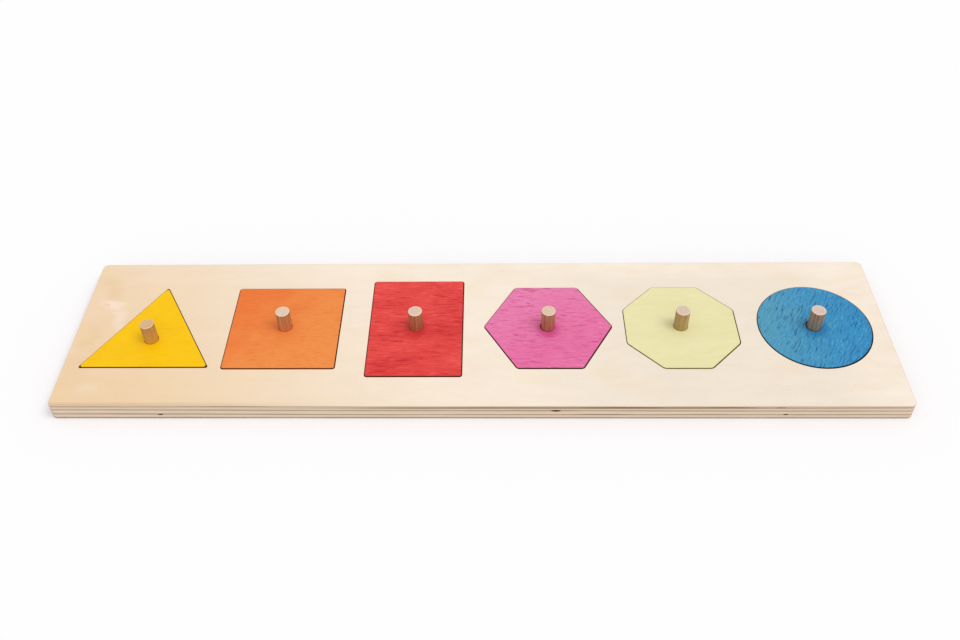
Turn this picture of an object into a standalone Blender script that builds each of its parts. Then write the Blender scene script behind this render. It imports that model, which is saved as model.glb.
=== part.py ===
"""Wooden inset puzzle: a long plywood board with six lift-out shapes on dowel pegs.

The board is two plywood sheets glued face to face. The upper sheet has six openings cut
right through it, and the lower sheet is their floor. Each opening holds an inset of its own
outline, and a dowel glued through the inset stands up as the grip.

Units are metres, +Z is up. The origin is the centre of the underside, +X runs along the
board and -Y is the side that faces the child. The board's length and width follow from the
openings, the wood left between them and the margins around them.
"""

import math
from dataclasses import dataclass

import bmesh
import bpy
from mathutils import Vector

# Sheets of the board
BASE_THICKNESS = 0.0064
FRAME_THICKNESS = 0.0064
GLUE_LINE = 0.0001
BOARD_CORNER_RADIUS = 0.004
BOARD_ARRIS = 0.0004

# Wood left around the openings
END_MARGIN = 0.0104
FRONT_MARGIN = 0.0258
BACK_MARGIN = 0.0198
NARROWEST_WEB = 0.0084
TRIANGLE_SET_BACK = 0.0014

# Openings, one outline each
TRIANGLE_HEIGHT = 0.080
SQUARE_SIDE = 0.080
RECTANGLE_LENGTH = 0.0676
RECTANGLE_DEPTH = 0.0944
HEXAGON_ACROSS_FLATS = 0.080
OCTAGON_ACROSS_FLATS = 0.080
CIRCLE_DIAMETER = 0.080
OPENING_CORNER_RADIUS = 0.0020

# Insets, which fall out of the upper sheet as the openings are cut
INSET_CLEARANCE = 0.00055
INSET_REST_GAP = 0.0004
INSET_CORNER_RADIUS = 0.0016
INSET_ARRIS = 0.00025

# Dowel pegs
PEG_DIAMETER = 0.010
PEG_STAND = 0.016
PEG_CHAMFER = 0.0004
PEG_FOOT_RECESS = 0.0003
PEG_HOLE_CLEARANCE = 0.0003

# Fineness of the round stretches
CORNER_SEGMENTS = 8
CIRCLE_SEGMENTS = 96
PEG_SEGMENTS = 48
ARRIS_SEGMENTS = 2
MERGE_DISTANCE = 1e-6

# Colours as they look in daylight, 0 to 255
BIRCH = (240, 219, 190)
DOWEL = (203, 172, 138)
YELLOW = (252, 198, 20)
ORANGE = (240, 138, 70)
RED = (226, 70, 70)
PINK = (232, 105, 165)
PALE_YELLOW = (235, 228, 170)
BLUE = (70, 150, 195)
BARE_WOOD_ROUGHNESS = 0.6
STAINED_WOOD_ROUGHNESS = 0.5


@dataclass
class Shape:
    """One opening of the row, with its corners about the axis of its peg."""

    name: str
    corners: list
    colour: tuple
    set_back: float = 0.0
    is_round: bool = False

    @property
    def reach(self):
        """Extent along the board."""
        return max(corner.x for corner in self.corners) - min(corner.x for corner in self.corners)

    @property
    def depth(self):
        """Extent across the board."""
        return max(corner.y for corner in self.corners) - min(corner.y for corner in self.corners)

    @property
    def middle(self):
        """Half-way line across the board, measured from the peg's axis."""
        return min(corner.y for corner in self.corners) + self.depth / 2

    def outline(self, clearance, corner_radius):
        """Outline drawn in by a clearance, with its corners rounded."""
        smaller = drawn_in(self.corners, clearance)
        return smaller if self.is_round else rounded(smaller, corner_radius)


def regular_corners(sides, across_flats):
    """Corners of a regular polygon about the origin, with one flat towards -Y."""
    radius = across_flats / 2 / math.cos(math.pi / sides)
    first = -math.pi / 2 + math.pi / sides
    angles = [first + 2 * math.pi * step / sides for step in range(sides)]
    return [Vector((radius * math.cos(angle), radius * math.sin(angle))) for angle in angles]


def triangle_corners(height):
    """Corners of an equilateral triangle about its centroid, point towards +Y."""
    inscribed_diameter = height * 2 / 3
    return regular_corners(3, inscribed_diameter)


def rectangle_corners(length, depth):
    """Corners of a rectangle about the origin."""
    x = length / 2
    y = depth / 2
    return [Vector((x, -y)), Vector((x, y)), Vector((-x, y)), Vector((-x, -y))]


def corner_directions(corners, index):
    """Directions of the two sides that meet at a corner."""
    before = corners[index] - corners[index - 1]
    after = corners[(index + 1) % len(corners)] - corners[index]
    return before.normalized(), after.normalized()


def drawn_in(corners, distance):
    """Move every side of a convex outline inwards by a distance."""
    moved = []
    for index, corner in enumerate(corners):
        before, after = corner_directions(corners, index)
        inward = Vector((-before.y - after.y, before.x + after.x))
        moved.append(corner + inward * distance / (1 + before.dot(after)))
    return moved


def rounded(corners, radius):
    """Replace each corner of a convex outline by an arc of the given radius."""
    points = []
    for index, corner in enumerate(corners):
        before, after = corner_directions(corners, index)
        turn = before.angle(after)
        arc_start = corner - before * radius * math.tan(turn / 2)
        centre = arc_start + Vector((-before.y, before.x)) * radius
        first = math.atan2(-before.x, before.y)
        for step in range(CORNER_SEGMENTS + 1):
            angle = first + turn * step / CORNER_SEGMENTS
            points.append(centre + Vector((math.cos(angle), math.sin(angle))) * radius)
    return points


def row_of_shapes():
    """The six openings from left to right."""
    square = rectangle_corners(SQUARE_SIDE, SQUARE_SIDE)
    rectangle = rectangle_corners(RECTANGLE_LENGTH, RECTANGLE_DEPTH)
    hexagon = regular_corners(6, HEXAGON_ACROSS_FLATS)
    octagon = regular_corners(8, OCTAGON_ACROSS_FLATS)
    circle = regular_corners(CIRCLE_SEGMENTS, CIRCLE_DIAMETER)
    return [
        Shape("triangle", triangle_corners(TRIANGLE_HEIGHT), YELLOW, set_back=TRIANGLE_SET_BACK),
        Shape("square", square, ORANGE),
        Shape("rectangle", rectangle, RED),
        Shape("hexagon", hexagon, PINK),
        Shape("octagon", octagon, PALE_YELLOW),
        Shape("circle", circle, BLUE, is_round=True),
    ]


def row_pitch(shapes):
    """Even spacing of the row, which leaves the narrowest web between the two widest neighbours."""
    return NARROWEST_WEB + max((left.reach + right.reach) / 2 for left, right in zip(shapes, shapes[1:]))


def board_size(shapes):
    """Length and width of both sheets."""
    length = 2 * END_MARGIN + (shapes[0].reach + shapes[-1].reach) / 2 + row_pitch(shapes) * (len(shapes) - 1)
    width = FRONT_MARGIN + max(shape.depth for shape in shapes) + BACK_MARGIN
    return length, width


def peg_axes(shapes):
    """Where the axis of each peg stands on the board."""
    length, width = board_size(shapes)
    first = -length / 2 + END_MARGIN + shapes[0].reach / 2
    centre_line = -width / 2 + FRONT_MARGIN + max(shape.depth for shape in shapes) / 2
    axes = []
    for index, shape in enumerate(shapes):
        x = first + row_pitch(shapes) * index
        axes.append(Vector((x, centre_line + shape.set_back - shape.middle, 0)))
    return axes


def start_scene():
    """Empty the scene and return the collections for the parts and for the cutters."""
    for old in list(bpy.data.objects):
        bpy.data.objects.remove(old, do_unlink=True)
    parts = bpy.data.collections.new("wooden_inset_puzzle")
    cutters = bpy.data.collections.new("cutters")
    bpy.context.scene.collection.children.link(parts)
    bpy.context.scene.collection.children.link(cutters)
    return parts, cutters


def linear(colour):
    """Turn a display colour of 0 to 255 into the linear RGBA that a shader takes."""
    channels = [value / 255 for value in colour]
    return [value / 12.92 if value <= 0.04045 else ((value + 0.055) / 1.055) ** 2.4 for value in channels] + [1.0]


def wood_finish(name, colour, roughness):
    """Make a Principled material of one colour."""
    material = bpy.data.materials.new(name)
    material.use_nodes = True
    shader = material.node_tree.nodes["Principled BSDF"]
    shader.inputs["Base Color"].default_value = linear(colour)
    shader.inputs["Roughness"].default_value = roughness
    shader.inputs["Metallic"].default_value = 0.0
    return material


def smooth_walls(mesh):
    """Shade the upright walls smooth and leave the level faces flat."""
    for face in mesh.polygons:
        face.use_smooth = abs(face.normal.z) < 0.5


def sheet_from_outline(name, points, thickness, collection):
    """Extrude a flat outline into a closed mesh that stands on z = 0."""
    curve = bpy.data.curves.new(name, "CURVE")
    curve.dimensions = "2D"
    curve.fill_mode = "BOTH"
    curve.extrude = thickness / 2
    spline = curve.splines.new("POLY")
    spline.points.add(len(points) - 1)
    for place, point in zip(spline.points, points):
        place.co = (point.x, point.y, 0, 1)
    spline.use_cyclic_u = True
    flat = bpy.data.objects.new(name + "_outline", curve)
    collection.objects.link(flat)
    mesh = bpy.data.meshes.new_from_object(flat.evaluated_get(bpy.context.evaluated_depsgraph_get()))
    mesh.name = name
    work = bmesh.new()
    work.from_mesh(mesh)
    bmesh.ops.remove_doubles(work, verts=work.verts, dist=MERGE_DISTANCE)
    bmesh.ops.dissolve_limit(work, angle_limit=math.radians(0.5), verts=work.verts, edges=work.edges)
    bmesh.ops.translate(work, verts=work.verts, vec=(0, 0, thickness / 2))
    work.to_mesh(mesh)
    work.free()
    smooth_walls(mesh)
    bpy.data.objects.remove(flat)
    sheet = bpy.data.objects.new(name, mesh)
    collection.objects.link(sheet)
    return sheet


def round_bar(name, radius, length, collection):
    """Make a round bar that stands on z = 0."""
    bpy.ops.mesh.primitive_cylinder_add(vertices=PEG_SEGMENTS, radius=radius, depth=length)
    bar = bpy.context.object
    bar.name = name
    bar.data.name = name
    for vertex in bar.data.vertices:
        vertex.co.z += length / 2
    smooth_walls(bar.data)
    for owner in list(bar.users_collection):
        owner.objects.unlink(bar)
    collection.objects.link(bar)
    return bar


def ease_edges(piece, width, heights):
    """Round the edges that lie at the given heights of a piece's own mesh."""
    mesh = piece.data
    weights = mesh.attributes.new("bevel_weight_edge", "FLOAT", "EDGE")
    for edge, weight in zip(mesh.edges, weights.data):
        ends = [mesh.vertices[index].co.z for index in edge.vertices]
        is_level = any(max(abs(end - height) for end in ends) < MERGE_DISTANCE for height in heights)
        weight.value = 1.0 if is_level else 0.0
    bevel = piece.modifiers.new("eased edges", "BEVEL")
    bevel.limit_method = "WEIGHT"
    bevel.width = width
    bevel.segments = ARRIS_SEGMENTS
    bevel.use_clamp_overlap = False


def cut_through(piece, cutter):
    """Cut a piece with a cutter, which stays hidden in the file."""
    cutter.hide_render = True
    cutter.display_type = "WIRE"
    boolean = piece.modifiers.new(cutter.name, "BOOLEAN")
    boolean.operation = "DIFFERENCE"
    boolean.object = cutter


def make_board(parts, cutters, shapes, axes):
    """Make the lower sheet and the upper sheet with its six openings."""
    plan = rounded(rectangle_corners(*board_size(shapes)), BOARD_CORNER_RADIUS)
    base = sheet_from_outline("base_board", plan, BASE_THICKNESS, parts)
    ease_edges(base, BOARD_ARRIS, [0])
    base.data.materials.append(wood_finish("base_birch_plywood", BIRCH, BARE_WOOD_ROUGHNESS))

    frame = sheet_from_outline("frame_board", plan, FRAME_THICKNESS, parts)
    frame.location.z = BASE_THICKNESS + GLUE_LINE
    ease_edges(frame, BOARD_ARRIS, [FRAME_THICKNESS])
    frame.data.materials.append(wood_finish("frame_birch_plywood", BIRCH, BARE_WOOD_ROUGHNESS))
    for shape, axis in zip(shapes, axes):
        outline = shape.outline(0, OPENING_CORNER_RADIUS)
        cutter = sheet_from_outline(shape.name + "_opening", outline, 3 * FRAME_THICKNESS, cutters)
        cutter.location = axis + Vector((0, 0, frame.location.z - FRAME_THICKNESS))
        cut_through(frame, cutter)
    return [base, frame]


def make_inset(parts, cutters, shape, axis):
    """Make one lift-out inset, with the dowel peg that is glued through it as its child."""
    outline = shape.outline(INSET_CLEARANCE, INSET_CORNER_RADIUS)
    inset = sheet_from_outline(shape.name + "_inset", outline, FRAME_THICKNESS, parts)
    inset.location = axis + Vector((0, 0, BASE_THICKNESS + INSET_REST_GAP))
    ease_edges(inset, INSET_ARRIS, [0, FRAME_THICKNESS])
    inset.data.materials.append(wood_finish(shape.name + "_stain", shape.colour, STAINED_WOOD_ROUGHNESS))
    hole_radius = PEG_DIAMETER / 2 + PEG_HOLE_CLEARANCE
    drill = round_bar(shape.name + "_peg_hole", hole_radius, 3 * FRAME_THICKNESS, cutters)
    drill.location = inset.location - Vector((0, 0, FRAME_THICKNESS))
    cut_through(inset, drill)

    peg_length = FRAME_THICKNESS + PEG_STAND - PEG_FOOT_RECESS
    peg = round_bar(shape.name + "_peg", PEG_DIAMETER / 2, peg_length, parts)
    peg.parent = inset
    peg.location.z = PEG_FOOT_RECESS
    ease_edges(peg, PEG_CHAMFER, [0, peg_length])
    peg.data.materials.append(wood_finish(shape.name + "_dowel", DOWEL, BARE_WOOD_ROUGHNESS))
    return inset


def main():
    """Build the whole puzzle."""
    parts, cutters = start_scene()
    shapes = row_of_shapes()
    axes = peg_axes(shapes)
    puzzle = bpy.data.objects.new("puzzle", None)
    parts.objects.link(puzzle)
    pieces = make_board(parts, cutters, shapes, axes)
    for shape, axis in zip(shapes, axes):
        pieces.append(make_inset(parts, cutters, shape, axis))
    for piece in pieces:
        piece.parent = puzzle
    bpy.context.view_layer.update()


main()
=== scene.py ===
"""Wooden inset puzzle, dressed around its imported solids.

A long plywood board of two glued sheets holds six coloured insets, each on a dowel grip. Every
piece is modelled again at the size of the solid it stands for, with the eased edges, laser cuts,
core gaps and glue of the real thing, and with the grain of its own wood.

Units are metres. +X runs along the board, -Y faces the child and +Z is up.
"""

import logging
import math
from collections.abc import Callable
from dataclasses import dataclass, field, replace
from enum import Enum
from functools import cached_property

import bmesh
import bpy
from mathutils import Matrix, Vector


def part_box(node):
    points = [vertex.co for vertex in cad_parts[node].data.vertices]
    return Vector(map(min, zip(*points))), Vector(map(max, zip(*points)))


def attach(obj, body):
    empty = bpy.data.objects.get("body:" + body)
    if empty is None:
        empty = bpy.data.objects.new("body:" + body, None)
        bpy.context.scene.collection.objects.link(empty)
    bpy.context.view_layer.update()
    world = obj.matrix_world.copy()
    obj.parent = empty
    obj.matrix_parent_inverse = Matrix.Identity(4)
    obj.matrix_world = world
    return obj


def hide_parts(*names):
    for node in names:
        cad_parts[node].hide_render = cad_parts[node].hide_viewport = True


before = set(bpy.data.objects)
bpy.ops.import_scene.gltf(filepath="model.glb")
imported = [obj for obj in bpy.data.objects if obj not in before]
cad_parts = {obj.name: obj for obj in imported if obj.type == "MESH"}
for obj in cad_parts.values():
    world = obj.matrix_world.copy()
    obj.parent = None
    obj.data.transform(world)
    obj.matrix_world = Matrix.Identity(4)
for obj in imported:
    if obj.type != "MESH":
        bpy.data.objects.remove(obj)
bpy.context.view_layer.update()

LEVEL_NORMAL = 0.999
ARRIS_NORMAL = 0.3
HEIGHT_TOLERANCE = 2e-5
FRONT_TOLERANCE = 1e-6
SIDEWAYS = 0.5
SEAM_GAIN = 4.0
BEVEL_TIP_SHARE = 2 - math.sqrt(2)
SMOOTH_BELOW = math.radians(38)
FILLET_SEGMENTS = 8
ORIGIN = (0.0, 0.0, 0.0)
WHITE = (1.0, 1.0, 1.0, 1.0)

Colour = tuple[int, int, int]
Size = tuple[float, float, float]
Span = tuple[float, float]
Gap = tuple[float, float, float, float]
Box = tuple[Vector, Vector]
Material = bpy.types.Material
FaceTest = Callable[[bmesh.types.BMFace], bool]
EdgeTest = Callable[[bmesh.types.BMEdge], bool]
FinishChoice = Callable[[Vector, Vector], Material]

logging.basicConfig(level=logging.INFO, format="%(message)s")
log = logging.getLogger("puzzle")


def linear(colour: Colour) -> tuple[float, float, float, float]:
    """Turn a display colour of 0 to 255 into the linear, opaque RGBA that a shader takes."""
    channels = [value / 255 for value in colour]
    red, green, blue = (v / 12.92 if v <= 0.04045 else ((v + 0.055) / 1.055) ** 2.4 for v in channels)
    return red, green, blue, 1.0


def operators(operation: str) -> tuple[Callable, Callable]:
    """Make the plain and the reflected form of an operator on wires, from a Math node's operation."""

    def plain(wire: "Wire", other: "Wire | float") -> "Wire":
        """Add the node with the wire first."""
        return wire.maths(operation, wire, other)

    def reflected(wire: "Wire", number: float) -> "Wire":
        """Add the node with the number first."""
        return wire.maths(operation, number, wire)

    return plain, reflected


class Wire:
    """A node's output, on which Python's operators add Math nodes."""

    __add__, __radd__ = operators("ADD")
    __sub__, __rsub__ = operators("SUBTRACT")
    __mul__, __rmul__ = operators("MULTIPLY")
    __pow__, __rpow__ = operators("POWER")

    def __init__(self, graph: "Graph", socket: bpy.types.NodeSocket) -> None:
        """Hold one output socket of a graph."""
        self.graph = graph
        self.socket = socket

    def maths(self, operation: str, *terms: "Wire | float") -> "Wire":
        """Add a Math node of an operation, with its terms in order."""
        return self.graph.add("ShaderNodeMath", {"operation": operation}, dict(enumerate(terms)))

    def __abs__(self) -> "Wire":
        """Size without its sign."""
        return self.maths("ABSOLUTE", self)

    def within(self, low: float, high: float) -> "Wire":
        """Smooth step from 0 at low to 1 at high, which falls where high is below low."""
        settings = {"interpolation_type": "SMOOTHSTEP", "clamp": True}
        ends = {"Value": self, "From Min": low, "From Max": high, "To Min": 0.0, "To Max": 1.0}
        return self.graph.add("ShaderNodeMapRange", settings, ends)


class Graph:
    """The node graph of a material or of the world."""

    def __init__(self, tree: bpy.types.NodeTree, shift: Size = ORIGIN) -> None:
        """Start from an empty tree, whose grain is shifted so that two pieces differ."""
        self.tree = tree
        self.shift = shift
        tree.nodes.clear()

    def add(
        self, kind: str, settings: dict | None = None, inputs: dict | None = None, output: int | str = 0
    ) -> Wire:
        """Add one node.

        Args:
            kind: Blender's type of the node.
            settings: its properties, set first.
            inputs: values or wires for its sockets, by name or number.
            output: the socket to hand back.

        Returns:
            The chosen output.
        """
        node = self.tree.nodes.new(kind)
        for name, value in (settings or {}).items():
            setattr(node, name, value)
        for key, value in (inputs or {}).items():
            if isinstance(value, Wire):
                self.tree.links.new(value.socket, node.inputs[key])
            else:
                node.inputs[key].default_value = value
        return Wire(self, node.outputs[output])

    def add_output(self, kind: str, shader: Wire) -> None:
        """Join a shader to an output node."""
        node = self.tree.nodes.new(kind)
        self.tree.links.new(shader.socket, node.inputs["Surface"])

    @cached_property
    def place(self) -> Wire:
        """Place on the piece at rest, in metres."""
        return self.add("ShaderNodeTexCoord", output="Object")

    def part_of(self, vector: Wire, axis: str) -> Wire:
        """One component of a vector, by its letter."""
        return self.add("ShaderNodeSeparateXYZ", None, {0: vector}, axis)

    def at(self, axis: str) -> Wire:
        """One coordinate of the place, by its letter."""
        return self.part_of(self.place, axis)

    def facing(self, axis: str) -> Wire:
        """Share of the surface that faces along an axis, either way."""
        return self.part_of(self.add("ShaderNodeTexCoord", output="Normal"), axis) ** 2.0

    def rim(self) -> Wire:
        """How close the place is to the rim, as the mesh keeps it."""
        return self.add("ShaderNodeAttribute", {"attribute_name": "rim"}, None, "Fac")

    def seen(self) -> Wire:
        """One where the camera, a reflection or a clear material looks, and else none."""
        kinds = ("Is Camera Ray", "Is Glossy Ray", "Is Transmission Ray")
        camera, glossy, clear = (self.add("ShaderNodeLightPath", output=kind) for kind in kinds)
        return camera.maths("MAXIMUM", camera.maths("MAXIMUM", camera, glossy), clear)

    def grain(
        self,
        size: Size,
        detail: float = 2.0,
        roughness: float = 0.5,
        wander: float = 0.0,
        turn: float = 0.0,
        apart: float = 0.0,
    ) -> Wire:
        """Noise drawn out along the grain.

        Args:
            size: length of one streak along the grain, across it and upwards, in metres.
            detail: octaves of finer noise.
            roughness: weight of the finer noise.
            wander: how far the streaks wander.
            turn: direction of the grain from +X, in radians.
            apart: how far the pattern starts from the graph's other ones.

        Returns:
            Noise between about -0.5 and 0.5.
        """
        start = (self.shift[0] + apart, *self.shift[1:])
        along_grain = {"Vector": self.place, "Location": start, "Rotation": (0.0, 0.0, turn), "Scale": size}
        mapped = self.add("ShaderNodeMapping", {"vector_type": "TEXTURE"}, along_grain)
        noise = {"Scale": 1.0, "Detail": detail, "Roughness": roughness, "Distortion": wander}
        return self.add("ShaderNodeTexNoise", {"noise_dimensions": "3D"}, {"Vector": mapped, **noise}) - 0.5

    def bands(self, level: Wire, spans: tuple[Size, ...], softness: float) -> tuple[Wire, Wire]:
        """Level bands of a plywood edge, and the glue lines along their borders.

        Args:
            level: height on the edge.
            spans: lower border, upper border and depth of tone of each band.
            softness: half-width of the step at a border.

        Returns:
            The bands and the glue lines.
        """
        tones = []
        seams = []
        for low, high, tone in spans:
            rising = level.within(low - softness, low + softness)
            falling = level.within(high + softness, high - softness)
            tones.append(rising * falling * tone)
            seams.append(rising * (1.0 - rising) + falling * (1.0 - falling))
        return sum(tones[1:], tones[0]), sum(seams[1:], seams[0]) * SEAM_GAIN

    def blend(self, share: Wire | float, first: "Wire | Colour", second: "Wire | Colour") -> Wire:
        """Mix two wires or display colours, of which a share of 0 gives the first and 1 the second."""
        first, second = (side if isinstance(side, Wire) else linear(side) for side in (first, second))
        return self.add("ShaderNodeMix", {"data_type": "RGBA"}, {0: share, 6: first, 7: second}, 2)

    def surface(
        self, colour: Wire, roughness: Wire | float, gloss: float, bumps: Wire, depth: float, strength: float
    ) -> None:
        """Finish a material with a Principled shader.

        Args:
            colour: its colour.
            roughness: its roughness.
            gloss: level of its mirror reflection.
            bumps: height of its bumps.
            depth: depth of the bumps in metres.
            strength: how much of them shows.
        """
        bump = self.add("ShaderNodeBump", None, {"Height": bumps, "Distance": depth, "Strength": strength})
        inputs = {"Base Color": colour, "Roughness": roughness, "Normal": bump, "Specular IOR Level": gloss}
        self.add_output("ShaderNodeOutputMaterial", self.add("ShaderNodeBsdfPrincipled", None, inputs))


@dataclass(frozen=True)
class Finish:
    """Finish of a surface, painted by each kind in its own way."""

    shift: Size = field(default=ORIGIN, kw_only=True)

    def paint(self, graph: Graph) -> None:
        """Add the nodes of the finish to an empty graph."""
        raise NotImplementedError

    def material(self, name: str) -> Material:
        """Build the finish as a material of this name."""
        material = bpy.data.materials.new(name)
        material.use_nodes = True
        self.paint(Graph(material.node_tree, self.shift))
        return material


@dataclass(frozen=True)
class Smudge:
    """Soft mark in the figure of a veneer, where the fibres turn."""

    middle: Span
    direction: float
    half_length: float
    half_width: float
    colour: Colour
    strength: float
    wave: float = 0.014
    full_length: float = 0.3
    full_width: float = 0.1

    def cover(self, graph: Graph, bare: Wire, wobble: Wire) -> Wire:
        """Lay the mark over the veneer.

        Args:
            graph: the material's graph.
            bare: the veneer's colour.
            wobble: noise that makes its outline wavy.

        Returns:
            The colour with the mark.
        """
        angle = math.radians(self.direction)
        from_x = graph.at("X") - self.middle[0]
        from_y = graph.at("Y") - self.middle[1]
        lengthwise = from_x * math.cos(angle) + from_y * math.sin(angle) + wobble * self.wave
        sideways = from_y * math.cos(angle) - from_x * math.sin(angle) + wobble * self.wave
        reach = abs(lengthwise).within(self.half_length, self.half_length * self.full_length)
        width = abs(sideways).within(self.half_width, self.half_width * self.full_width)
        return graph.blend(reach * width * self.strength, bare, self.colour)


CURL = (
    Smudge((-0.2765, 0.0440), -62, 0.0200, 0.0100, (231, 196, 144), 0.38),
    Smudge((-0.2775, -0.0110), 75, 0.0200, 0.0080, (230, 194, 146), 0.35),
    Smudge((-0.2740, 0.0252), -22, 0.0112, 0.0058, (254, 230, 210), 0.88),
    Smudge((-0.2610, 0.0112), -72, 0.0160, 0.0078, (251, 228, 206), 0.80),
    Smudge((-0.2762, 0.0260), -22, 0.0036, 0.0020, (226, 186, 156), 0.42, 0.004),
    Smudge((-0.2650, -0.0535), 5, 0.0130, 0.0065, (249, 226, 198), 0.40),
)


@dataclass(frozen=True)
class Veneer(Finish):
    """Sanded bare birch with its grain along the board, warmer towards the left end and the front."""

    warm: Colour = (240, 207, 165)
    pale: Colour = (252, 239, 223)
    warm_to: float = -0.37
    pale_from: float = 0.02
    dull: Colour = (241, 230, 214)
    dull_share: float = 0.8
    dull_left: Span = (0.02, 0.10)
    dull_right: Span = (0.280, 0.235)
    dull_back: Span = (0.066, 0.046)
    sap: Colour = (245, 222, 178)
    sap_share: float = 0.24
    blush: Colour = (250, 226, 206)
    blush_share: float = 0.34
    # Colour of a darker strip along the front edge towards the left end.
    rubbed: Colour = (206, 168, 134)
    front_strip_share: float = 0.7
    front_strip_across: Span = (-0.0650, -0.0700)
    front_strip_along: Span = (-0.06, -0.26)
    shade: Colour = (220, 190, 154)
    fleck: Colour = (190, 152, 114)
    roughness: float = 0.58
    smudges: tuple[Smudge, ...] = ()

    def paint(self, graph: Graph) -> None:
        """Lay the tones of the sheet, then its smudges, its figure and its flecks."""
        along = graph.at("X")
        across = graph.at("Y")
        clouds = graph.grain((0.090, 0.045, 1.0), wander=0.5)
        mottle = graph.grain((0.024, 0.011, 1.0), 3.0, 0.6, 0.8)
        figure = graph.grain((0.150, 0.0075, 1.0), 3.0, 0.6, 0.7)
        fibre = graph.grain((0.022, 0.00055, 1.0), roughness=0.6)
        speckle = graph.grain((0.0035, 0.00042, 1.0), detail=1.0)
        hue = graph.grain((0.080, 0.036, 1.0), wander=0.8, apart=0.5)
        tone = (along + across * 0.75 + clouds * 0.10).within(self.warm_to, self.pale_from)
        bare = graph.blend(tone, self.warm, self.pale)
        dull_part = along.within(*self.dull_left) * along.within(*self.dull_right)
        bare = graph.blend(dull_part * across.within(*self.dull_back) * self.dull_share, bare, self.dull)
        bare = graph.blend(hue.within(0.0, 0.20) * self.sap_share, bare, self.sap)
        bare = graph.blend(hue.within(0.0, -0.20) * self.blush_share, bare, self.blush)
        for smudge in self.smudges:
            bare = smudge.cover(graph, bare, clouds + mottle)
        # Darker strip along the front edge towards the left end of the face.
        front_strip = across.within(*self.front_strip_across) * along.within(*self.front_strip_along)
        bare = graph.blend(front_strip * self.front_strip_share, bare, self.rubbed)
        depth = 0.10 + clouds * 0.30 + mottle * 0.26 + figure * 0.15 + fibre * 0.12
        shaded = graph.blend(depth, bare, self.shade)
        flecks = speckle.within(0.17, 0.30) * (0.30 + clouds * 1.2)
        colour = graph.blend(flecks, shaded, self.fleck)
        graph.surface(colour, self.roughness + fibre * 0.2, 0.3, fibre - flecks, depth=0.00006, strength=0.35)


@dataclass(frozen=True)
class PlyEdge(Finish):
    """Sawn and sanded edge of the board, with the plies of both sheets as bands.

    A ply shows long grain where its fibres run along the edge, and darker end grain where they
    meet it, so the bands of the long edges are the negative of those of the ends.
    """

    long_grain: Colour = (233, 211, 188)
    end_grain: Colour = (164, 140, 115)
    glue: Colour = (140, 108, 78)
    glue_share: float = 0.35
    # Lavender tint low on the edge: painted bounce light from the floor's shadow.
    floor_bounce_tint: Colour = (190, 172, 186)
    floor_bounce_share: float = 0.28
    floor_bounce_span: Span = (0.0040, 0.0)
    cross_plies: tuple[Size, ...] = (
        (-0.0004, 0.0016, 1.05),
        (0.0037, 0.0048, 0.90),
        (0.0077, 0.0091, 0.80),
        (0.0102, 0.0124, 1.10),
    )
    softness: float = 0.00014
    drift: float = 0.0008
    drift_span: Span = (0.001, 0.006)
    left_part: Span = (-0.06, -0.26)
    right_part: Span = (0.06, 0.20)
    deep_part: Span = (-0.17, 0.04)
    faint_part: Span = (0.12, 0.23)
    mid_ply_foot: Span = (0.0060, 0.0080)
    mid_ply_head: Span = (0.0102, 0.0090)
    top_ply: Span = (0.0097, 0.0102)
    low_ply: Span = (0.0030, 0.0020)
    crest: Span = (0.0119, 0.0123)
    crest_part: Span = (-0.05, -0.15)

    def paint(self, graph: Graph) -> None:
        """Lay the bands, which drift and change in depth along the edge, the pores in them and painted bounce
        light from the lavender floor shadow low on the edge.
        """
        height = graph.at("Z")
        along = graph.at("X")
        waver = graph.grain((0.070, 0.070, 0.006))
        leftwards = along.within(*self.left_part)
        rightwards = along.within(*self.right_part)
        mid_ply = height.within(*self.mid_ply_foot) * height.within(*self.mid_ply_head)
        left_rise = leftwards * height.within(*self.drift_span) * self.drift
        rise = left_rise - rightwards * mid_ply * self.drift * 0.6
        cross, seams = graph.bands(height + waver * 0.0005 - rise, self.cross_plies, self.softness)
        top_depth = along.within(*self.deep_part) * 0.80 - along.within(*self.faint_part) * 0.45 - 0.70
        low_depth = leftwards * 0.20 - rightwards * 0.12
        fresh = 0.95 + height.within(*self.top_ply) * top_depth + height.within(*self.low_ply) * low_depth
        # A darker line along the top of the edge towards the left end, counted in with the end grain.
        crest = height.within(*self.crest) * along.within(*self.crest_part) * 0.95
        end_grain = (cross * fresh + crest) * graph.facing("Y") + (1.0 - cross) * graph.facing("X")
        pores = graph.grain((0.00045, 0.00045, 0.00030), roughness=0.7)
        streaks = graph.grain((0.016, 0.016, 0.00022), roughness=0.6)
        stain = graph.grain((0.045, 0.045, 0.0011), roughness=0.6)
        crossed = end_grain * (0.95 + stain * 1.1 + pores * 0.7)
        lengthwise = (1.0 - end_grain) * (0.05 + streaks * 0.45 + stain * 0.35)
        bare = graph.blend(crossed + lengthwise, self.long_grain, self.end_grain)
        # Painted bounce light: the lower part of the edge is tinted lavender, as if lit by the shadowed
        # floor.
        with_floor_bounce = graph.blend(height.within(*self.floor_bounce_span) * self.floor_bounce_share, bare, self.floor_bounce_tint)
        colour = graph.blend(seams * self.glue_share, with_floor_bounce, self.glue)
        bumps = streaks * (1.0 - end_grain) + pores * end_grain
        graph.surface(colour, 0.68, 0.25, bumps, depth=0.0001, strength=0.4)


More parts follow.
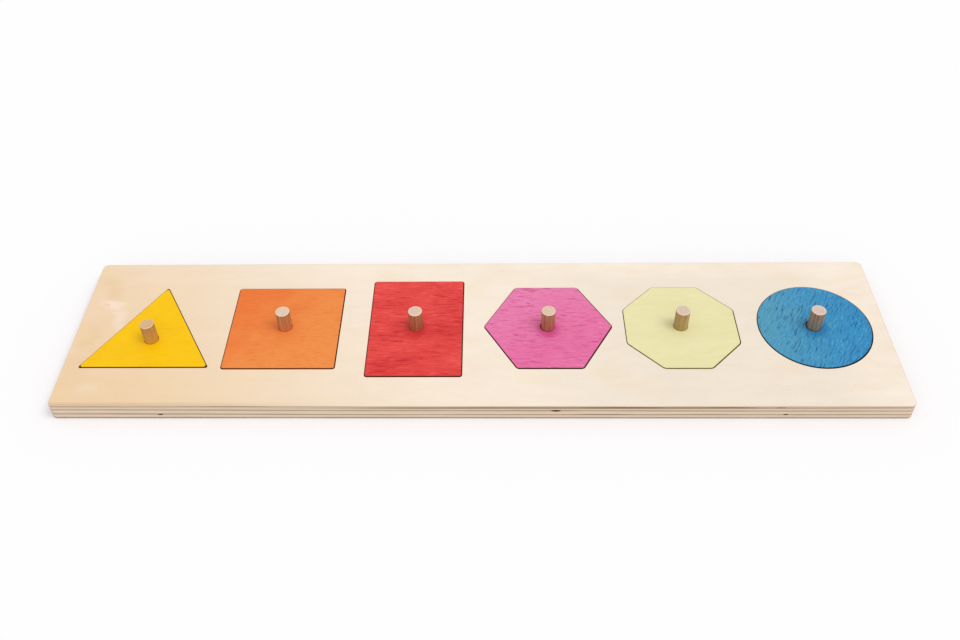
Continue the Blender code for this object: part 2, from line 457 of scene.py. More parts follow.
@dataclass(frozen=True)
class ScorchedCut(Finish):
    """Wall of a laser cut: toasted brown, with the plies and the beam's upright ripples.

    The wall of an inset also drank stain from its upper edge.
    """

    char: Colour = (96, 64, 40)
    toast: Colour = (190, 148, 104)
    cross_plies: tuple[Size, ...] = ((0.0077, 0.0091, 1.0), (0.0102, 0.0116, 1.0))
    softness: float = 0.00012
    soak: Colour | None = None
    soak_span: Span = (0.0092, 0.0114)
    soak_share: float = 0.92

    def paint(self, graph: Graph) -> None:
        """Lay the scorched plies and the stain that soaked in from above."""
        height = graph.at("Z")
        ripples = graph.grain((0.00045, 0.00045, 0.012), roughness=0.6)
        patches = graph.grain((0.012, 0.012, 0.006))
        cross, seams = graph.bands(height + patches * 0.0003, self.cross_plies, self.softness)
        share = 0.25 + ripples * 0.8 + cross * 0.30 + seams * 0.35 + patches * 0.7
        colour = graph.blend(share, self.toast, self.char)
        if self.soak:
            soaked = (height + ripples * 0.0006 + patches * 0.0008).within(*self.soak_span)
            colour = graph.blend(soaked * self.soak_share, colour, self.soak)
        graph.surface(colour, 0.75, 0.2, ripples, depth=0.00015, strength=0.6)


@dataclass(frozen=True)
class Stain(Finish):
    """Coloured stain on birch veneer: deep where the grain drank it, light where rubbed off.

    Its tone fades about the middle of the inset, and a darker patch in front of the grip is painted there as
    the grip's reflection.
    """

    body: Colour
    deep: Colour
    light: Colour
    soak: Colour
    middle: Span = (0.0, 0.0)
    streak: Span = (0.012, 0.0011)
    deep_share: float = 0.7
    light_share: float = 0.6
    wander: float = 0.5
    cloud: float = 1.0
    fade: Colour | None = None
    fade_towards: Span = (-1.0, 0.0)
    fade_reach: float = 0.04
    grip_reflection_share: float = 0.5
    grip_reflection_span: Span = (0.0110, 0.0040)
    grip_reflection_shift: float = 0.0030
    rim_share: float = 0.5
    arris_soak: float = 0.45
    arris_span: Span = (0.65, 1.0)
    turn: float = 0.0
    roughness: float = 0.5

    def paint(self, graph: Graph) -> None:
        """Lay the ground, its streaks, the painted reflection of the grip in front of it and the darker rim.
        """
        length, width = self.streak
        deeps = graph.grain((length, width, 1.0), 2.0, 0.6, self.wander, self.turn)
        lights = graph.grain((length * 0.7, width * 0.8, 1.3), 2.0, 0.6, self.wander, self.turn)
        fine = graph.grain((length * 0.4, width * 0.35, 1.0), 2.0, 0.6, 0.2, self.turn)
        clouds = graph.grain((0.030, 0.016, 1.0), 2.0, 0.5, 0.5, self.turn) * self.cloud
        from_x = graph.at("X") - self.middle[0]
        from_y = graph.at("Y") - self.middle[1]
        if self.fade:
            step_x, step_y = (part / self.fade_reach for part in self.fade_towards)
            faded = (from_x * step_x + from_y * step_y + clouds * 2.2).within(-0.7, 1.3)
            ground = graph.blend(faded, self.body, self.fade)
        else:
            ground = graph.blend(0.25 + clouds, self.body, self.deep)
        soaked = (deeps + clouds * 0.35).within(0.0, 0.22) * self.deep_share
        rubbed = (lights - clouds * 0.25).within(0.02, 0.26) * self.light_share
        streaked = graph.blend(rubbed, graph.blend(soaked, ground, self.deep), self.light)
        worked = graph.blend(0.15 + fine * 0.9, streaked, self.deep)
        # Painted reflection: a patch of the deep colour around and just in front of the grip stands in for
        # the grip mirrored in the satin stain.
        from_grip = (from_x ** 2.0 + (from_y + self.grip_reflection_shift) ** 2.0) ** 0.5
        grip_reflection = (from_grip + deeps * 0.009 + clouds * 0.006).within(*self.grip_reflection_span)
        with_grip_reflection = graph.blend(grip_reflection * self.grip_reflection_share, worked, self.deep)
        rim = graph.rim()
        rimmed = graph.blend(rim ** 3.0 * self.rim_share, with_grip_reflection, self.deep)
        colour = graph.blend(rim.within(*self.arris_span) * self.arris_soak, rimmed, self.soak)
        bumps = fine + deeps * 0.5
        graph.surface(colour, self.roughness + fine * 0.2, 0.15, bumps, depth=0.00005, strength=0.35)


@dataclass(frozen=True)
class DowelSide(Finish):
    """Turned side of a dowel, with its fibres upright and a tint of the inset's colour that grows towards its
    foot: partly stain drawn up the dowel, partly painted bounce light from the inset and painted shade at the
    foot.
    """

    stain_and_bounce_tint: Colour
    stain_and_bounce_share: float = 0.32
    light: Colour = (204, 162, 120)
    dark: Colour = (124, 84, 52)
    foot: float = 0.0132
    top: float = 0.0292

    def paint(self, graph: Graph) -> None:
        """Lay the fibres and pores, then the tint that grows towards the foot, partly stain and partly
        painted bounce light and shade.
        """
        streaks = graph.grain((0.0011, 0.0011, 0.030), 3.0, 0.65, 0.3)
        pores = graph.grain((0.00030, 0.00030, 0.0028), detail=1.0)
        share = 0.45 + streaks * 2.0 + pores.within(0.10, 0.24) * 0.6
        # Partly painted light: more of the inset's colour towards the foot stands in for light bounced off
        # the inset and for shade at the foot, besides stain drawn up the dowel.
        tint_towards_foot = graph.at("Z").within(self.top, self.foot) * 0.8 + streaks + 0.5
        colour = graph.blend(tint_towards_foot * self.stain_and_bounce_share, graph.blend(share, self.light, self.dark), self.stain_and_bounce_tint)
        graph.surface(colour, 0.6, 0.3, streaks - pores, depth=0.00008, strength=0.5)


@dataclass(frozen=True)
class DowelEnd(Finish):
    """Sawn end of a dowel: open pores, faint growth rings and a rim made paler as a painted highlight, where
    the chamfer catches the light.
    """

    light: Colour = (240, 219, 198)
    dark: Colour = (196, 160, 130)
    ring_turn: float = 0.5

    def paint(self, graph: Graph) -> None:
        """Lay the rings and pores, with a painted highlight that makes the rim paler."""
        rings = graph.grain((0.016, 0.0016, 1.0), 2.0, 0.5, 0.3, self.ring_turn)
        pores = graph.grain((0.00055, 0.00055, 1.0), roughness=0.7)
        # Painted highlight: the share of the dark colour drops towards the rim.
        share = 0.36 + rings * 0.5 + pores * 1.9 - graph.rim() * 0.45
        colour = graph.blend(share, self.light, self.dark)
        graph.surface(colour, 0.7, 0.2, pores, depth=0.00012, strength=0.5)


@dataclass(frozen=True)
class Lumpy(Finish):
    """Dull, lumpy surface that no tool smoothed: dried glue, or the torn inside of a core gap."""

    light: Colour
    dark: Colour
    lump: Size
    roughness: float
    gloss: float

    def paint(self, graph: Graph) -> None:
        """Lay the lumps."""
        lumps = graph.grain(self.lump)
        colour = graph.blend(0.5 + lumps * 2.0, self.light, self.dark)
        graph.surface(colour, self.roughness, self.gloss, lumps, depth=0.0002, strength=0.5)


@dataclass(frozen=True)
class WhiteFloor(Finish):
    """Matte floor that keeps shadows, lifted so that it fades into the white behind it."""

    colour: Size = (0.90, 0.90, 0.885)
    lift: Size = (0.098, 0.090, 0.118)

    def paint(self, graph: Graph) -> None:
        """Add the lift to the matte white."""
        matte = graph.add("ShaderNodeBsdfDiffuse", None, {"Color": (*self.colour, 1.0)})
        glow = graph.add("ShaderNodeEmission", None, {"Color": (*self.lift, 1.0), "Strength": graph.seen()})
        both = graph.add("ShaderNodeAddShader", None, {0: matte, 1: glow})
        graph.add_output("ShaderNodeOutputMaterial", both)


DRIED_GLUE = Lumpy((120, 82, 48), (84, 54, 32), (0.0012, 0.0012, 0.0012), roughness=0.32, gloss=0.5)
CORE_GAP = Lumpy((150, 110, 66), (92, 62, 32), (0.0012, 0.0012, 0.0002), roughness=0.85, gloss=0.05)


class Outline(Enum):
    """Plan of an inset."""

    TRIANGLE = ("triangle", 3, "yellow_stain")
    SQUARE = ("square", 4, "orange_stain")
    RECTANGLE = ("rectangle", 4, "red_stain")
    HEXAGON = ("hexagon", 6, "pink_stain")
    OCTAGON = ("octagon", 8, "pale_yellow_stain")
    CIRCLE = ("circle", 128, "blue_stain")

    def __init__(self, body: str, corners: int, slot: str) -> None:
        """Name the body, which starts its nodes' names, count the corners and name the material slot."""
        self.body = body
        self.corners = corners
        self.slot = slot


@dataclass(frozen=True)
class Plan:
    """Where an inset lies and how wide it is, read from its solids."""

    outline: Outline
    axis: Vector
    apothem: float
    stretch: float

    @classmethod
    def of(cls, outline: Outline) -> "Plan":
        """Read the plan of an inset from the boxes of its solids."""
        inset_low, inset_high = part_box(outline.body + "_inset")
        peg_low, peg_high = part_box(outline.body + "_peg")
        axis = (peg_low + peg_high) / 2
        apothem = axis.y - inset_low.y
        is_long = outline is Outline.RECTANGLE
        stretch = (inset_high.x - inset_low.x) / 2 / apothem if is_long else 1.0
        return cls(outline, Vector((axis.x, axis.y, 0.0)), apothem, stretch)

    def depth_inside(self, point: Vector) -> float:
        """How far a point lies inside the outline, in metres."""
        x, y = point.x - self.axis.x, point.y - self.axis.y
        depths = []
        for side in range(self.outline.corners):
            angle = 2 * math.pi * side / self.outline.corners - math.pi / 2
            reach = self.apothem * (self.stretch if abs(math.cos(angle)) > SIDEWAYS else 1.0)
            depths.append(reach - x * math.cos(angle) - y * math.sin(angle))
        return min(depths)


class Workpiece:
    """One piece on the bench, shaped by the modelling operators until it is finished."""

    def __init__(self, name: str) -> None:
        """Clear the bench for a piece of this name."""
        self.name = name
        self.thing: bpy.types.Object | None = None
        bpy.ops.object.select_all(action="DESELECT")

    def take(self) -> None:
        """Keep the primitive that was just added, its place put into its mesh."""
        self.thing = bpy.context.object
        self.thing.name = self.thing.data.name = self.name
        bpy.ops.object.transform_apply(location=True, rotation=True, scale=True)

    def pick(self, kind: str, test: Callable[[object], bool] | None = None) -> None:
        """Go into edit mode with only the elements selected that pass a test.

        Args:
            kind: VERT, EDGE or FACE.
            test: says whether an element is wanted; without it all are.
        """
        bpy.ops.object.mode_set(mode="EDIT")
        bpy.ops.mesh.select_mode(type=kind)
        bpy.ops.mesh.select_all(action="DESELECT")
        mesh = bmesh.from_edit_mesh(self.thing.data)
        mesh.normal_update()
        for element in {"VERT": mesh.verts, "EDGE": mesh.edges, "FACE": mesh.faces}[kind]:
            if test is None or test(element):
                element.select_set(True)
        bmesh.update_edit_mesh(self.thing.data)

    @staticmethod
    def leave() -> None:
        """Go back to object mode."""
        bpy.ops.object.mode_set(mode="OBJECT")

    def lay_polygon(self, corners: int, apothem: float, place: Vector, stretch: float) -> None:
        """Lay a level polygon with a flat side towards -Y.

        Args:
            corners: number of its corners.
            apothem: distance from its middle to that side.
            place: its middle.
            stretch: its extent along X, as a share of a regular one's.
        """
        turn = 0.0 if corners % 2 else math.pi / corners
        radius = apothem / math.cos(math.pi / corners)
        bpy.ops.mesh.primitive_circle_add(
            vertices=corners, radius=radius, fill_type="NGON", location=place, rotation=(0.0, 0.0, turn)
        )
        self.take()
        if stretch != 1.0:
            self.pick("VERT")
            bpy.ops.transform.resize(value=(stretch, 1.0, 1.0), center_override=place)
            self.leave()

    def round_corners(self, radius: float, corners: int, segments: int) -> None:
        """Round the corners of a flat outline.

        The bevel starts where its arc reaches as far towards the tip as a true one of the radius.

        Args:
            radius: radius of each corner.
            corners: number of corners.
            segments: fineness of each arc.
        """
        half_angle = math.pi / 2 - math.pi / corners
        tip = radius * (1 / math.sin(half_angle) - 1)
        start = tip / (BEVEL_TIP_SHARE * math.cos(half_angle))
        self.pick("VERT")
        bpy.ops.mesh.bevel(offset_type="OFFSET", offset=start, segments=segments, affect="VERTICES")
        self.leave()

    def raise_walls(self, height: float) -> None:
        """Draw a flat outline up into a solid plate."""
        self.pick("FACE")
        bpy.ops.mesh.extrude_region_move(TRANSFORM_OT_translate={"value": (0.0, 0.0, height)})
        bpy.ops.mesh.select_all(action="SELECT")
        bpy.ops.mesh.normals_make_consistent(inside=False)
        self.leave()

    def follow(self, plan: Plan, grow: float, place: Vector, fillet: float, height: float) -> None:
        """Make a plate of an inset's outline.

        Args:
            plan: plan of the inset.
            grow: how far the plate stands outside it.
            place: middle of the plate's underside.
            fillet: distance from a corner's tip to the start of its arc.
            height: thickness of the plate.
        """
        corners = plan.outline.corners
        apothem = plan.apothem + grow
        self.lay_polygon(corners, apothem, place, (plan.apothem * plan.stretch + grow) / apothem)
        if plan.outline is not Outline.CIRCLE:
            self.round_corners(fillet / math.tan(math.pi / corners), corners, FILLET_SEGMENTS)
        self.raise_walls(height)

    def lay_bar(self, radius: float, low: float, high: float, axis: Vector, segments: int) -> None:
        """Stand a round bar on end, its foot at the low height and its top at the high one."""
        bpy.ops.mesh.primitive_cylinder_add(
            vertices=segments, radius=radius, depth=high - low, location=(axis.x, axis.y, (low + high) / 2)
        )
        self.take()

    def ease(self, test: EdgeTest, width: float, segments: int) -> None:
        """Round the edges that pass a test, to a width and in a number of steps."""
        self.pick("EDGE", test)
        bpy.ops.mesh.bevel(
            offset_type="OFFSET", offset=width, segments=segments, affect="EDGES", clamp_overlap=False
        )
        self.leave()

    def ring(self, test: FaceTest, width: float, rise: float = 0.0) -> None:
        """Set a ring of a width inside the faces that pass a test, and lift the middle by the rise."""
        self.pick("FACE", test)
        bpy.ops.mesh.inset(thickness=width, depth=rise)
        self.leave()

    def cut(self, cutter: "Workpiece") -> None:
        """Cut the piece with another one, which is used up."""
        boolean = self.thing.modifiers.new("cut", "BOOLEAN")
        boolean.operation = "DIFFERENCE"
        boolean.solver = "EXACT"
        boolean.object = cutter.thing
        self.activate()
        bpy.ops.object.modifier_apply(modifier=boolean.name)
        bpy.data.objects.remove(cutter.thing)

    def activate(self) -> None:
        """Make the piece the only selected and the active one."""
        bpy.ops.object.select_all(action="DESELECT")
        self.thing.select_set(True)
        bpy.context.view_layer.objects.active = self.thing

    def shade(self) -> None:
        """Shade curved walls smooth and keep level and flat faces flat."""
        self.activate()
        bpy.ops.object.shade_smooth_by_angle(angle=SMOOTH_BELOW)
        weighted = self.thing.modifiers.new("weighted normals", "WEIGHTED_NORMAL")
        weighted.keep_sharp = True
        bpy.ops.object.modifier_apply(modifier=weighted.name)

    def mark_rim(self, closeness: Callable[[Vector], float]) -> None:
        """Keep on each vertex how close it is to the rim, from 0 for away from it to 1 on it."""
        rim = self.thing.data.attributes.new("rim", "FLOAT", "POINT")
        for vertex, mark in zip(self.thing.data.vertices, rim.data):
            mark.value = min(1.0, max(0.0, closeness(vertex.co)))

    def dress(self, materials: list[Material], choose: FinishChoice | None = None) -> None:
        """Give each face its finish.

        Args:
            materials: the finishes of the piece.
            choose: the finish for a face's middle and normal; without it all get the first.
        """
        mesh = self.thing.data
        mesh.materials.clear()
        for material in materials:
            mesh.materials.append(material)
        for face in mesh.polygons:
            face.material_index = materials.index(choose(face.center, face.normal)) if choose else 0

    def hand_over(self, body: str, slot: str | None = None, *replaced: str) -> None:
        """Let the finished piece ride on its body.

        Args:
            body: the body it moves with.
            slot: the record's material slot, if it has one; not used.
            *replaced: the solids that it stands for.
        """
        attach(self.thing, body)
        if replaced:
            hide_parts(*replaced)
        log.info("%s: %d faces on %s", self.name, len(self.thing.data.polygons), body)


def lies_at(height: float) -> EdgeTest:
    """Make a test for the edges that lie level at a height."""

    def test(edge: bmesh.types.BMEdge) -> bool:
        """Say whether both ends of the edge are at the height."""
        return all(abs(end.co.z - height) < HEIGHT_TOLERANCE for end in edge.verts)

    return test


def faces_up(height: float) -> FaceTest:
    """Make a test for the face that looks up at a height."""

    def test(face: bmesh.types.BMFace) -> bool:
        """Say whether the face is level and at the height."""
        return face.normal.z > LEVEL_NORMAL and abs(face.calc_center_median().z - height) < HEIGHT_TOLERANCE

    return test


@dataclass
class Board:
    """The two glued plywood sheets, the upper one with six openings."""

    corner_radius: float = 0.004
    corner_segments: int = 12
    arris: float = 0.0004
    arris_segments: int = 4
    clearance: float = 0.00055
    rim_reach: float = 0.0011
    opening_fillet: float = 0.0021
    opening_shift: Span = (0.0001, -0.0003)
    opening_ease: float = 0.00012
    opening_ease_segments: int = 2
    glue_set_back: float = 0.0003
    cutter_reach: float = 0.001
    gap_depth: float = 0.0014
    gap_fineness: int = 3
    veneer: Veneer = field(default_factory=lambda: Veneer(smudges=CURL))
    floor_veneer: Veneer = field(default_factory=lambda: Veneer(shift=(0.37, 0.11, 0.0)))
    back_veneer: Veneer = field(default_factory=lambda: Veneer(shift=(0.83, 0.29, 0.0)))
    upper_gaps: tuple[Gap, ...] = (
        (0.0527, 0.0082, 0.0068, 0.0019),
        (0.0970, 0.0113, 0.0560, 0.0006),
        (0.1690, 0.0113, 0.0340, 0.0004),
        (0.2010, 0.0113, 0.0070, 0.0005),
    )
    lower_gaps: tuple[Gap, ...] = (
        (-0.2142, 0.0043, 0.0042, 0.0013),
        (0.2054, 0.0043, 0.0036, 0.0013),
        (0.0840, 0.0045, 0.0420, 0.0004),
    )

    def plate(self, name: str, low: Vector, high: Vector, draw_in: float = 0.0) -> Workpiece:
        """Make a sheet of the board's outline.

        Args:
            name: name of the piece.
            low: lowest corner of its box.
            high: highest corner of its box.
            draw_in: how far its outline is drawn in.

        Returns:
            The sheet, with sharp edges.
        """
        piece = Workpiece(name)
        half_width = (high.y - low.y) / 2 - draw_in
        half_length = (high.x - low.x) / 2 - draw_in
        middle = (low + high) / 2
        place = Vector((middle.x, middle.y, low.z))
        piece.lay_polygon(4, half_width, place, half_length / half_width)
        piece.round_corners(self.corner_radius - draw_in, 4, self.corner_segments)
        piece.raise_walls(high.z - low.z)
        return piece

    def open_up(self, piece: Workpiece, plans: list[Plan], grow: float, low: float, high: float) -> None:
        """Cut the openings of the row, grown outside their insets, through a sheet from low to high."""
        for plan in plans:
            cutter = Workpiece("cutter")
            foot = plan.axis + Vector((*self.opening_shift, low - self.cutter_reach))
            cutter.follow(plan, grow, foot, self.opening_fillet, high - low + 2 * self.cutter_reach)
            piece.cut(cutter)

    def ease_openings(self, piece: Workpiece, plans: list[Plan], top: float) -> None:
        """Break the rims of a sheet's openings, at the height of its face."""
        is_level = lies_at(top)

        def is_rim(edge: bmesh.types.BMEdge) -> bool:
            """Say whether an edge lies between the face and an opening's wall."""
            if not is_level(edge) or min(abs(face.normal.z) for face in edge.link_faces) > ARRIS_NORMAL:
                return False
            middle = (edge.verts[0].co + edge.verts[1].co) / 2
            return any(plan.depth_inside(middle) > -self.rim_reach for plan in plans)

        piece.ease(is_rim, self.opening_ease, self.opening_ease_segments)

    def pit(self, piece: Workpiece, gaps: tuple[Gap, ...], front: float) -> None:
        """Hollow out gaps and cracks of the core in the front edge of a sheet."""
        for along, height, length, opening in gaps:
            cutter = Workpiece("cutter")
            half_size = (length / 2, self.gap_depth, opening / 2)
            bpy.ops.mesh.primitive_ico_sphere_add(
                subdivisions=self.gap_fineness, radius=1.0, location=(along, front, height), scale=half_size
            )
            cutter.take()
            piece.cut(cutter)

    def finish(
        self, piece: Workpiece, node: str, box: Box, gaps: tuple[Gap, ...], materials: list[Material]
    ) -> None:
        """Pit, shade, dress and hand over a sheet.

        Args:
            piece: the sheet.
            node: the solid that it stands for.
            box: lowest and highest corner of that solid's box.
            gaps: place along the board, height, length and opening of each gap in its core.
            materials: finishes of its face, of the outer edge, of the rest and of the gaps.
        """
        low, high = box
        half_length, half_width = (high.x - low.x) / 2, (high.y - low.y) / 2
        face, edge, rest, torn = materials

        def is_in_gap(middle: Vector) -> bool:
            """Say whether a face lines a gap."""
            return low.y + FRONT_TOLERANCE < middle.y < low.y + self.gap_depth and any(
                abs(middle.x - along) < length / 2 and abs(middle.z - height) < opening / 2
                for along, height, length, opening in gaps
            )

        def is_on_outline(middle: Vector) -> bool:
            """Say whether a face belongs to the outer edge or its easing."""
            past_x = max(0.0, abs(middle.x) - half_length + self.corner_radius)
            past_y = max(0.0, abs(middle.y) - half_width + self.corner_radius)
            return math.hypot(past_x, past_y) > self.corner_radius - self.arris - HEIGHT_TOLERANCE

        def choose(middle: Vector, normal: Vector) -> Material:
            """Finish for a face's middle and normal."""
            if normal.z > LEVEL_NORMAL and high.z - middle.z < HEIGHT_TOLERANCE:
                return face
            if is_in_gap(middle):
                return torn
            return edge if is_on_outline(middle) else rest

        self.pit(piece, gaps, low.y)
        piece.shade()
        piece.dress(materials, choose)
        piece.hand_over("board", "birch_plywood", node)

    def build(self, plans: list[Plan]) -> None:
        """Make, dress and hand over both sheets and the glue between them, for the insets' plans."""
        edge = PlyEdge().material("ply_edge")
        torn = CORE_GAP.material("core_gap")

        low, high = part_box("frame_board")
        upper = self.plate("upper_sheet", low, high)
        upper.ease(lies_at(high.z), self.arris, self.arris_segments)
        self.open_up(upper, plans, self.clearance, low.z, high.z)
        self.ease_openings(upper, plans, high.z)
        face, wall = self.veneer.material("face_veneer"), ScorchedCut().material("opening_wall")
        self.finish(upper, "frame_board", (low, high), self.upper_gaps, [face, edge, wall, torn])
        joint_top = low.z

        low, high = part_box("base_board")
        lower = self.plate("lower_sheet", low, high)
        lower.ease(lies_at(low.z), self.arris, self.arris_segments)
        floor, back = self.floor_veneer.material("floor_veneer"), self.back_veneer.material("back_veneer")
        self.finish(lower, "base_board", (low, high), self.lower_gaps, [floor, edge, back, torn])

        joint_low, joint_high = Vector((low.x, low.y, high.z)), Vector((high.x, high.y, joint_top))
        glue = self.plate("sheet_glue", joint_low, joint_high, self.glue_set_back)
        self.open_up(glue, plans, self.clearance + self.glue_set_back, high.z, joint_top)
        glue.shade()
        glue.dress([DRIED_GLUE.material("sheet_glue")])
        glue.hand_over("board")


@dataclass
class Inset:
    """One lift-out shape with its dowel grip."""

    outline: Outline
    stain: Stain
    grip_side: DowelSide
    grip_end: DowelEnd = field(default_factory=DowelEnd)
    wall: ScorchedCut = field(default_factory=lambda: ScorchedCut(toast=(150, 108, 70), char=(72, 46, 28)))
    hole_radius: float = 0.00522
    hole_shift: Span = (0.0, 0.0)
    hole_segments: int = 64
    fillet: float = 0.0017
    arris: float = 0.00025
    arris_segments: int = 3
    rim_width: float = 0.0009
    glue_depth: float = 0.0006
    glue_overlap: float = 0.00002
    meniscus: Span = (0.0003, 0.00022)
    grip_segments: int = 72
    chamfer: float = 0.00045
    crown: float = 0.00008
    crown_rings: Span = (0.0006, 0.0016)
    # Reach of the painted highlight on the rim of the dowel's ends.
    end_highlight_reach: float = 0.0011

    def tile(self, plan: Plan) -> Workpiece:
        """Model the stained plywood tile of a plan, with its hole."""
        low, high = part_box(self.outline.body + "_inset")
        tile = Workpiece(self.outline.body + "_tile")
        foot = plan.axis + Vector((0.0, 0.0, low.z))
        tile.follow(plan, 0.0, foot, self.fillet, high.z - low.z)
        for level in (low.z, high.z):
            tile.ease(lies_at(level), self.arris, self.arris_segments)
        tile.ring(faces_up(high.z), self.rim_width)
        drill = Workpiece("drill")
        tip, shank = low.z - self.crown, high.z + self.crown
        drill.lay_bar(self.hole_radius, tip, shank, self.hole(plan), self.hole_segments)
        tile.cut(drill)
        tile.shade()
        tile.mark_rim(lambda point: 1 - plan.depth_inside(point) / self.rim_width)
        return tile

    def hole(self, plan: Plan) -> Vector:
        """Axis of the hole, which is a little off that of the grip."""
        return plan.axis + Vector((*self.hole_shift, 0.0))

    def glue(self, plan: Plan) -> Workpiece:
        """Model and dress the dried glue around the grip of a plan, drawn up against it."""
        low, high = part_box(self.outline.body + "_inset")
        glue = Workpiece(self.outline.body + "_glue")
        top = high.z - self.glue_depth
        radius = self.hole_radius + self.glue_overlap
        glue.lay_bar(radius, low.z + self.glue_depth, top, self.hole(plan), self.hole_segments)
        glue.ring(faces_up(top), *self.meniscus)
        glue.shade()
        glue.dress([DRIED_GLUE.material(self.outline.body + "_glue")])
        return glue

    def grip(self) -> Workpiece:
        """Model and dress the dowel, with its crowned and chamfered ends."""
        low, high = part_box(self.outline.body + "_peg")
        middle = (low + high) / 2
        radius = (high.x - low.x) / 2
        grip = Workpiece(self.outline.body + "_grip")
        top = high.z - self.crown
        grip.lay_bar(radius, low.z, top, middle, self.grip_segments)
        for level in (low.z, top):
            grip.ease(lies_at(level), self.chamfer, self.arris_segments)
        for step, width in enumerate(self.crown_rings):
            grip.ring(faces_up(top + step * self.crown / 2), width, self.crown / 2)
        grip.shade()
        grip.mark_rim(lambda point: 1 - (radius - (point - middle).xy.length) / self.end_highlight_reach)
        side = self.grip_side.material(self.outline.body + "_dowel_side")
        end = self.grip_end.material(self.outline.body + "_dowel_end")
        grip.dress([side, end], lambda middle, normal: end if abs(normal.z) > ARRIS_NORMAL else side)
        return grip

    def build(self, plan: Plan, under: Material) -> None:
        """Make, dress and hand over the tile with its bare underside, its grip and their glue."""
        body = self.outline.body
        stain = replace(self.stain, middle=tuple(plan.axis.xy)).material(body + "_stain")
        wall = replace(self.wall, soak=self.stain.soak).material(body + "_wall")

        def choose(middle: Vector, normal: Vector) -> Material:
            """Finish for a face's middle and normal."""
            if normal.z < -LEVEL_NORMAL:
                return under
            return stain if normal.z > ARRIS_NORMAL else wall

        tile = self.tile(plan)
        tile.dress([stain, under, wall], choose)
        tile.hand_over(body, self.outline.slot, body + "_inset")
        self.grip().hand_over(body, "dowel", body + "_peg")
        self.glue(plan).hand_over(body)


def insets() -> list[Inset]:
    """The six insets of the row, from left to right."""
    return [
        Inset(
            Outline.TRIANGLE,
            Stain(
                body=(255, 204, 4), deep=(247, 189, 0), light=(255, 213, 20), soak=(132, 78, 0),
                streak=(0.016, 0.006), deep_share=0.4, light_share=0.3, arris_soak=0.1,
            ),
            DowelSide((240, 176, 2), light=(194, 150, 104)),
            DowelEnd(light=(230, 194, 150), dark=(190, 144, 98)),
            fillet=0.00277,
        ),
        Inset(
            Outline.SQUARE,
            Stain(
                body=(244, 148, 76), deep=(228, 116, 48), light=(250, 164, 96), soak=(104, 40, 4),
                streak=(0.0085, 0.0010), deep_share=0.75, light_share=0.40, grip_reflection_share=0.2,
                cloud=0.5, fade=(238, 120, 56), fade_towards=(-0.75, 0.65), shift=(0.1, 0.2, 0.0),
            ),
            DowelSide((228, 98, 24), light=(198, 154, 112), shift=(0.1, 0.0, 0.0)),
            DowelEnd(shift=(0.1, 0.0, 0.0), ring_turn=1.2),
        ),
        Inset(
            Outline.RECTANGLE,
            Stain(
                body=(241, 81, 75), deep=(198, 38, 42), light=(248, 108, 100), soak=(84, 6, 6),
                streak=(0.014, 0.0013), deep_share=0.95, light_share=0.9, grip_reflection_share=0.6,
                shift=(0.3, 0.1, 0.0),
            ),
            DowelSide((176, 16, 16), light=(190, 144, 104), shift=(0.2, 0.1, 0.0)),
            DowelEnd(light=(240, 212, 194), dark=(200, 156, 132), shift=(0.2, 0.1, 0.0), ring_turn=0.2),
        ),
        Inset(
            Outline.HEXAGON,
            Stain(
                body=(234, 118, 168), deep=(206, 64, 128), light=(247, 152, 198), soak=(76, 0, 8),
                streak=(0.011, 0.0012), deep_share=0.80, light_share=0.70, grip_reflection_share=0.75,
                fade=(238, 142, 186), fade_towards=(-0.35, 0.8), shift=(0.2, 0.3, 0.0),
            ),
            DowelSide((176, 30, 70), shift=(0.3, 0.3, 0.0)),
            DowelEnd(light=(236, 212, 186), shift=(0.3, 0.3, 0.0), ring_turn=2.0),
            hole_radius=0.0054, hole_shift=(-0.0003, -0.0001), glue_depth=0.0020,
        ),
        Inset(
            Outline.OCTAGON,
            Stain(
                body=(238, 232, 182), deep=(230, 222, 164), light=(243, 238, 198), soak=(186, 176, 92),
                streak=(0.018, 0.006), deep_share=0.4, light_share=0.4, grip_reflection_share=0.3,
                arris_soak=0.0, shift=(0.5, 0.1, 0.0),
            ),
            DowelSide((156, 163, 71), shift=(0.6, 0.3, 0.0)),
            DowelEnd(light=(232, 212, 190), dark=(190, 160, 134), shift=(0.6, 0.3, 0.0), ring_turn=0.9),
        ),
        Inset(
            Outline.CIRCLE,
            Stain(
                body=(58, 148, 198), deep=(12, 94, 156), light=(108, 186, 206), soak=(2, 18, 22),
                streak=(0.0085, 0.0012), deep_share=0.9, light_share=0.85, wander=0.15,
                fade=(96, 166, 188), fade_towards=(-1.0, 0.1), turn=math.radians(62),
                shift=(0.4, 0.4, 0.0),
            ),
            DowelSide((28, 112, 128), shift=(0.8, 0.2, 0.0)),
            DowelEnd(light=(234, 214, 200), dark=(182, 152, 136), shift=(0.8, 0.2, 0.0), ring_turn=2.6),
            hole_radius=0.0057, hole_shift=(-0.0006, -0.0002), glue_depth=0.0020,
        ),
    ]


@dataclass(frozen=True)
class Lamp:
    """Broad distant lamp: the light that it gives a level surface, where it shines from and its angle."""

    name: str
    share: float
    source: Size
    width: float

    def hang(self) -> None:
        """Put the lamp into the scene."""
        lamp = bpy.data.lights.new(self.name, "SUN")
        direction = Vector(self.source).normalized()
        lamp.energy = math.pi * self.share / direction.z
        lamp.angle = self.width
        holder = bpy.data.objects.new(self.name, lamp)
        holder.rotation_euler = direction.to_track_quat("Z", "Y").to_euler()
        bpy.context.scene.collection.objects.link(holder)


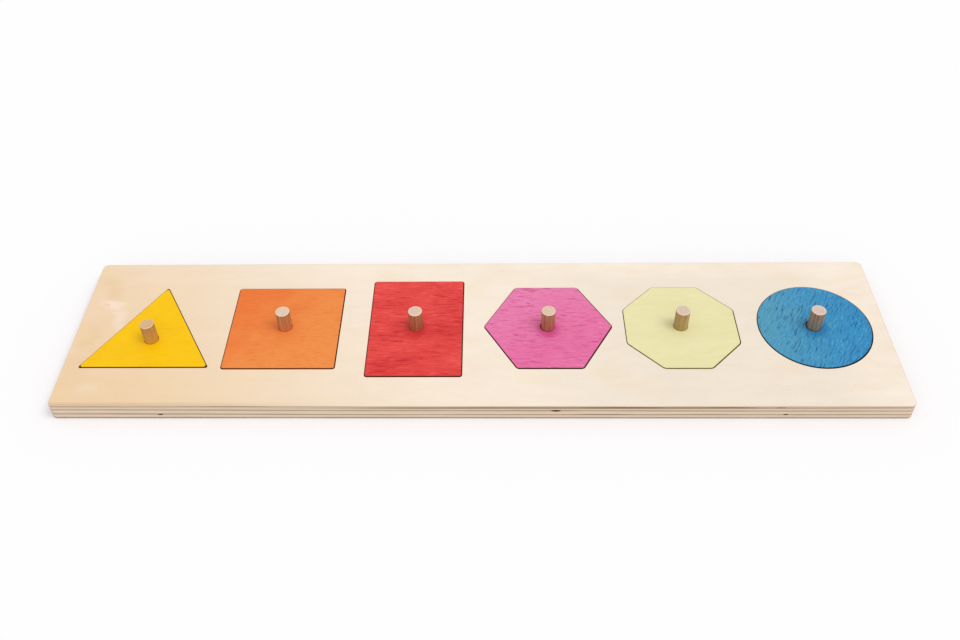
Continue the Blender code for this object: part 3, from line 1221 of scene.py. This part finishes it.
@dataclass
class Studio:
    """White floor, soft light and the photograph's viewpoint."""

    eye: Size = (0.01009, -0.49427, 0.53468)
    yaw: float = math.radians(-2.1821)
    pitch: float = math.radians(42.6554)
    roll: float = math.radians(-1.7092)
    lens: float = 37.5357
    shift: Span = (0.01732, -0.06042)
    sky_share: float = 0.70
    key: Lamp = Lamp("key_lamp", 0.26, (7.5, -2.5, 14.0), math.radians(30))
    fill: Lamp = Lamp("fill_lamp", 0.04, (-2.0, -12.0, 5.0), math.radians(60))
    floor_size: float = 16.0

    def set_camera(self) -> None:
        """Stand the camera where the photograph was taken from."""
        level = math.cos(self.pitch)
        ahead = Vector((math.sin(self.yaw) * level, math.cos(self.yaw) * level, -math.sin(self.pitch)))
        right = Vector((math.cos(self.yaw), -math.sin(self.yaw), 0.0))
        above = right.cross(ahead)
        rolled_right = right * math.cos(self.roll) + above * math.sin(self.roll)
        rolled_above = above * math.cos(self.roll) - right * math.sin(self.roll)
        data = bpy.data.cameras.new("photo_camera")
        data.lens = self.lens
        data.shift_x, data.shift_y = self.shift
        camera = bpy.data.objects.new("photo_camera", data)
        bpy.context.scene.collection.objects.link(camera)
        turn = Matrix((rolled_right, rolled_above, -ahead)).transposed().to_4x4()
        camera.matrix_world = Matrix.Translation(self.eye) @ turn
        bpy.context.scene.camera = camera

    def set_lights(self) -> None:
        """Light the scene from a white sky, a key lamp at the right and a weak fill from the front."""
        self.key.hang()
        self.fill.hang()
        world = bpy.data.worlds.new("white_studio")
        bpy.context.scene.world = world
        world.use_nodes = True
        graph = Graph(world.node_tree)
        strength = self.sky_share + graph.seen() * (1.0 - self.sky_share)
        sky = graph.add("ShaderNodeBackground", None, {"Color": WHITE, "Strength": strength})
        graph.add_output("ShaderNodeOutputWorld", sky)

    def set_floor(self) -> None:
        """Lay the white floor, which keeps the shadow of the board."""
        bpy.ops.object.select_all(action="DESELECT")
        bpy.ops.mesh.primitive_plane_add(size=self.floor_size, location=ORIGIN)
        floor = bpy.context.object
        floor.name = "studio_floor"
        floor.data.materials.append(WhiteFloor().material("studio_floor"))

    def build(self) -> None:
        """Set up the camera, the lights and the floor."""
        self.set_camera()
        self.set_lights()
        self.set_floor()
        bpy.context.scene.view_settings.view_transform = "Standard"


def main() -> None:
    """Build the board, the six insets and the studio."""
    log.info("dressing %d solids", len(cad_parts))
    plans = [Plan.of(outline) for outline in Outline]
    Board().build(plans)
    under = Veneer(shift=(0.61, 0.47, 0.0), warm_to=-1.2, pale_from=-0.9).material("tile_underside")
    for inset, plan in zip(insets(), plans):
        inset.build(plan, under)
    Studio().build()


if __name__ == "__main__":
    main()
